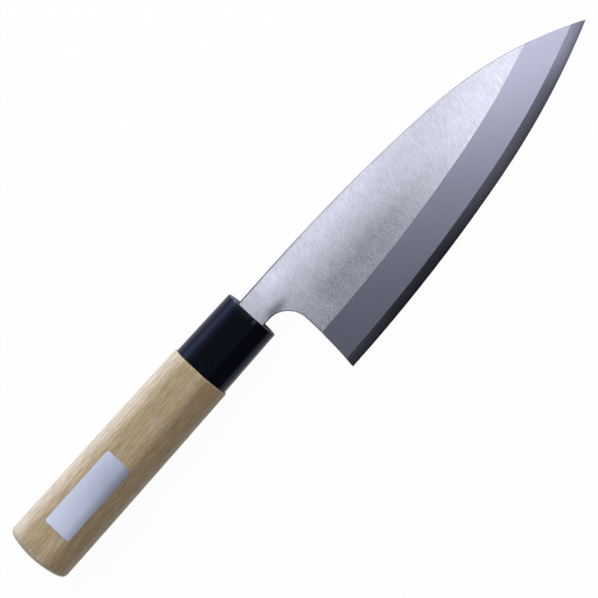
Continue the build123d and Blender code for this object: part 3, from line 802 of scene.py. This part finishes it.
# %% [markdown]
# ## The two steels
# The flat side is ground across the blade on a wheel, which leaves fine lines that lean towards
# the tip at the spine. The bevel is blasted, so it is an even matt grey without lines. The hard
# steel along the edge is polished. All three are plain steel: only their surface differs. Ground
# steel draws every highlight out square to its lines, which a tangent and an anisotropic shader
# do at no cost, while the lines themselves are noise drawn out at the wheel's angle.

# %% Grinding lines
GRIND_TURN = radians(73)                   # grinding lines above the handle's axis
LINE_ACROSS, LINE_ALONG = 0.22, 3.2        # mm, coarser than the real 0.1 mm lines so that they show
CROSS_TURN = radians(64)                   # a second pass of the wheel at another angle


def ground_lines(tree, where):
    """Two passes of the wheel, each noise drawn out along its lines, added in equal shares."""
    first = drawn_noise(tree, where, LINE_ACROSS, LINE_ALONG, turn=GRIND_TURN, seed=2, detail=3)
    second = drawn_noise(tree, where, LINE_ACROSS, LINE_ALONG, turn=CROSS_TURN, seed=9, detail=3)
    total = add(tree, "ShaderNodeMath", {0: first, 1: second}, operation="ADD")
    return add(tree, "ShaderNodeMath", {0: total, 1: 0.5}, operation="MULTIPLY")


def grinding_tangent(tree):
    """Direction square to the grinding lines, along which they draw the highlights out."""
    across = TO_WORLD @ Vector((sin(GRIND_TURN), -cos(GRIND_TURN), 0))
    return add(tree, "ShaderNodeCombineXYZ", {0: across[0], 1: across[1], 2: across[2]})


print("grinding lines drawn per cm:", round(10 / LINE_ACROSS))

# %% [markdown]
# ## Ground side
# The ground side isn't even. The wheel has pressed harder here and there, and painted shade makes
# it darker, with coarser grain, by the ridge towards the heel. The neck is darker by the handle, and
# a few soft marks, darker and brighter, lie about the neck, the heel and under the spine. One number
# holds all that, the level, which the colour of the lines is multiplied by.

# %% Colour of the ground side
MOTTLE = 5.0                               # mm, soft clouds where the wheel pressed harder
SHADE_FROM_X, SHADE_TO_X = 130.0, 50.0       # mm, painted shade, darker by the ridge towards the heel
SHADE_FROM_Y, SHADE_TO_Y = 2.5, -15.0
DEEPEST_SHADE = 0.57                             # how much darker it gets there
NECK_FROM_X, NECK_TO_X = 3.0, 9.0          # mm
NECK_DARKENING = 0.10                           # how much darker the neck is than the blade before it
SOFT_MARKS = (                             # place and half size in mm, and how dark
    ((8.0, -5.6), (9.0, 3.8), 0.42),       # darker in the bend of the neck
    ((100.0, 1.0), (50.0, 13.0), 0.13),    # darker under the middle of the spine
    ((16.0, 3.5), (9.0, 6.0), -0.12),      # brighter over the neck
    ((17.0, -16.0), (14.0, 12.0), -0.10),  # and down at the heel
)


def ground_colour(tree, where, at, lines, grit):
    """Colour of the lines times a level: clouds + grain * (1 + 3.5 dull) - dull - neck - marks, where
    dull is painted shade.
    """
    # Painted shade: the level drops by the ridge towards the heel, where the grain is also coarser.
    painted_shade_x = add(tree, "ShaderNodeMapRange", {
        "Value": at.outputs["X"], "From Min": SHADE_FROM_X, "From Max": SHADE_TO_X,
        "To Max": DEEPEST_SHADE}, interpolation_type="SMOOTHSTEP")
    painted_shade_y = add(tree, "ShaderNodeMapRange", {
        "Value": at.outputs["Y"], "From Min": SHADE_FROM_Y, "From Max": SHADE_TO_Y})
    # The product is that painted shade, named dull.
    dull = add(tree, "ShaderNodeMath", {0: painted_shade_x, 1: painted_shade_y}, operation="MULTIPLY")
    neck = add(tree, "ShaderNodeMapRange", {
        "Value": at.outputs["X"], "From Min": NECK_FROM_X, "From Max": NECK_TO_X,
        "To Min": NECK_DARKENING, "To Max": 0.0})
    darker = add(tree, "ShaderNodeMath", {0: dull, 1: neck}, operation="ADD")
    for middle, half_size, strength in SOFT_MARKS:
        around = add(tree, "ShaderNodeMapping", {
            "Vector": where, "Location": tuple(-p / s for p, s in zip(middle, half_size)) + (0,),
            "Scale": tuple(1 / s for s in half_size) + (0,)})
        far = add(tree, "ShaderNodeVectorMath", {0: around}, operation="LENGTH").outputs["Value"]
        mark = add(tree, "ShaderNodeMapRange", {
            "Value": far, "To Min": strength, "To Max": 0.0,
        }, interpolation_type="SMOOTHSTEP")
        darker = add(tree, "ShaderNodeMath", {0: darker, 1: mark}, operation="ADD")
    mottle = add(tree, "ShaderNodeTexNoise", {"Vector": where, "Scale": 1 / MOTTLE, "Detail": 3.0})
    clouds = add(tree, "ShaderNodeMapRange", {
        "Value": mottle, "From Min": 0.3, "From Max": 0.7, "To Min": 0.965, "To Max": 1.025})
    grain = add(tree, "ShaderNodeMapRange", {
        "Value": grit, "From Min": 0.3, "From Max": 0.7, "To Min": -0.04, "To Max": 0.04})
    coarser = add(tree, "ShaderNodeMath", {0: dull, 1: 3.5, 2: 1.0}, operation="MULTIPLY_ADD")
    level = add(tree, "ShaderNodeMath", {0: grain, 1: coarser, 2: clouds}, operation="MULTIPLY_ADD")
    level = add(tree, "ShaderNodeMath", {0: level, 1: darker}, operation="SUBTRACT")
    level = add(tree, "ShaderNodeCombineXYZ", {0: level, 1: level, 2: level})
    ground = add(tree, "ShaderNodeValToRGB", {0: lines}, stops=(
        (0.32, "B8B8C3"), (0.5, "D2D2DB"), (0.68, "E9E9F1")))
    return add(tree, "ShaderNodeMix", {
        0: 1.0, 1: ground, 2: level}, data_type="RGBA", blend_type="MULTIPLY")


print("soft marks on the ground side:", len(SOFT_MARKS))

# %% [markdown]
# ## Soft steel
# Which way a place faces tells what was done to it. Level places are ground and the bevel tilts by
# a few degrees and is blasted. Upright walls get painted shade, most of it on the spine by the
# neck, while the heel's wall is painted light. So one material serves the whole blade, with soft
# masks between the finishes.

# %% Soft steel material
GRIT = 0.45                                # mm, grain of the blasted bevel, and of the ground side
ON_BEVEL, ON_WALL, ON_BACK = (0.996, 0.990), (0.93, 0.8), (-0.8, -0.93)   # how squarely it faces up
WALL_SHADE_FROM_X, WALL_SHADE_TO_X = 8.0, 40.0       # mm, the painted shade on the spine thins out from the neck


def soft_steel_material():
    """Soft steel: ground flat side and back, blasted bevel, and walls in painted shade, painted light
    on the heel.
    """
    material, tree = new_material("soft_steel_ground_and_blasted")
    where = knife_mm(tree)
    at = add(tree, "ShaderNodeSeparateXYZ", {0: where})
    upward = facing(tree, Z_AXIS)
    on_bevel, on_wall, on_back = (add(tree, "ShaderNodeMapRange", {
        "Value": upward, "From Min": start, "From Max": end,
    }) for start, end in (ON_BEVEL, ON_WALL, ON_BACK))
    spineward = add(tree, "ShaderNodeMapRange", {
        "Value": facing(tree, Y_AXIS), "From Min": 0.08, "From Max": 0.25})
    # Painted shade on the spine-facing walls, strongest by the neck.
    neck_wall_shade = add(tree, "ShaderNodeMapRange", {
        "Value": at.outputs["X"], "From Min": WALL_SHADE_FROM_X, "From Max": WALL_SHADE_TO_X,
        "To Min": 1.0, "To Max": 0.3})
    spineward = add(tree, "ShaderNodeMath", {0: spineward, 1: neck_wall_shade}, operation="MULTIPLY")
    on_wall = add(tree, "ShaderNodeMath", {0: on_wall, 1: spineward}, operation="MAXIMUM")
    heelward = add(tree, "ShaderNodeMapRange", {
        "Value": facing(tree, X_AXIS), "From Min": -0.1, "From Max": -0.4})
    # Painted shade: walls are dark, and the heel's wall is painted light.
    painted_wall_shade = add(tree, "ShaderNodeMix", {0: heelward, 1: "54565E", 2: "C8CAD4"}, data_type="RGBA")
    lines = ground_lines(tree, where)
    grit = add(tree, "ShaderNodeTexNoise", {"Vector": where, "Scale": 1 / GRIT, "Detail": 2.0})
    ground = ground_colour(tree, where, at, lines, grit)
    blasted = add(tree, "ShaderNodeValToRGB", {0: grit}, stops=((0.3, "C0C1D2"), (0.7, "CDCEDF")))
    colour = ground
    for share, finish in ((on_bevel, blasted), (on_wall, painted_wall_shade), (on_back, ground)):
        colour = add(tree, "ShaderNodeMix", {0: share, 1: colour, 2: finish}, data_type="RGBA")
    matt = add(tree, "ShaderNodeMapRange", {"Value": on_bevel, "To Min": 0.40, "To Max": 0.36})
    height = add(tree, "ShaderNodeMix", {0: on_bevel, 1: lines, 2: grit}, data_type="FLOAT")
    bump = add(tree, "ShaderNodeBump", {"Height": height, "Strength": 0.15, "Distance": 0.03 * MM})
    shader = add(tree, "ShaderNodeBsdfPrincipled", {
        "Base Color": colour, "Metallic": 1.0, "Roughness": matt, "Anisotropic": 0.5,
        "Tangent": grinding_tangent(tree), "Normal": bump})
    add(tree, "ShaderNodeOutputMaterial", {"Surface": shader})
    return material


frame["nodes"]["blade_body"].material_slots[0].material = soft_steel_material()
print("blade's finish:", frame["nodes"]["blade_body"].material_slots[0].material.name)

# %% [markdown]
# ## Hard steel
# The band along the edge is polished, so it mirrors whatever part of the dim room lies opposite,
# and that changes along the blade with the curve of the belly. A real polish is finer than the
# render can follow. So the tone that the mirrored room would give is laid in along the blade and
# across the band, over a fairly sharp reflection.

# %% Hard steel material
EDGE_LAND, BAND_TOP = 0.2, 1.2             # mm over the back, from the edge to the weld line
BLADE_LENGTH = 164.9                       # mm, heel to tip


def hard_steel_material():
    """Hard steel: polished along the edge with a painted reflection laid in, finely ground on the back.
    """
    material, tree = new_material("hard_steel_polished")
    where = knife_mm(tree)
    at = add(tree, "ShaderNodeSeparateXYZ", {0: where})
    across = add(tree, "ShaderNodeMapRange", {
        "Value": at.outputs["Z"], "From Min": EDGE_LAND, "From Max": BAND_TOP})
    # Painted reflection: darker at the edge and lighter at the weld line, then toned along the blade.
    painted_reflection = add(tree, "ShaderNodeValToRGB", {0: across}, stops=(
        (0.0, "60606A"), (0.3, "7F7F88"), (0.8, "91919B"), (1.0, "A09FA8")))
    along = add(tree, "ShaderNodeMath", {0: at.outputs["X"], 1: BLADE_LENGTH}, operation="DIVIDE")
    reflection_along = add(tree, "ShaderNodeValToRGB", {0: along}, stops=(
        (0.09, "FFFFFF"), (0.25, "BFBFC2"), (0.42, "AEAEB2"), (0.58, "D6D6D8"), (0.78, "B1B1B5"),
        (0.88, "AEAEB4"), (0.97, "D8D8DE")))
    painted_reflection = add(tree, "ShaderNodeMix", {
        0: 1.0, 1: painted_reflection, 2: reflection_along}, data_type="RGBA", blend_type="MULTIPLY")
    lines = ground_lines(tree, where)
    ground = add(tree, "ShaderNodeValToRGB", {0: lines}, stops=((0.32, "B9BBC6"), (0.68, "DDDFE7")))
    on_back = add(tree, "ShaderNodeMapRange", {
        "Value": facing(tree, Z_AXIS), "From Min": -0.5, "From Max": -0.9})
    colour = add(tree, "ShaderNodeMix", {0: on_back, 1: painted_reflection, 2: ground}, data_type="RGBA")
    gloss = add(tree, "ShaderNodeMapRange", {"Value": on_back, "To Min": 0.22, "To Max": 0.38})
    bump = add(tree, "ShaderNodeBump", {"Height": lines, "Strength": 0.12, "Distance": 0.03 * MM})
    shader = add(tree, "ShaderNodeBsdfPrincipled", {
        "Base Color": colour, "Metallic": 1.0, "Roughness": gloss, "Normal": bump})
    add(tree, "ShaderNodeOutputMaterial", {"Surface": shader})
    return material


frame["nodes"]["edge_steel"].material_slots[0].material = hard_steel_material()
print("edge's finish:", frame["nodes"]["edge_steel"].material_slots[0].material.name)

# %% [markdown]
# ## Seating the pieces
# The knife is one rigid body, so every piece rides on it. Each new surface stands for the plain
# solid that it was made over, which is hidden.

# %% Bodies
for piece, node, slot in (
    (grip, "grip", "ho_wood"), (ferrule, "ferrule", "black_plastic"), (label, "label", "label_film"),
):
    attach(piece, "root")
    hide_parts(node)
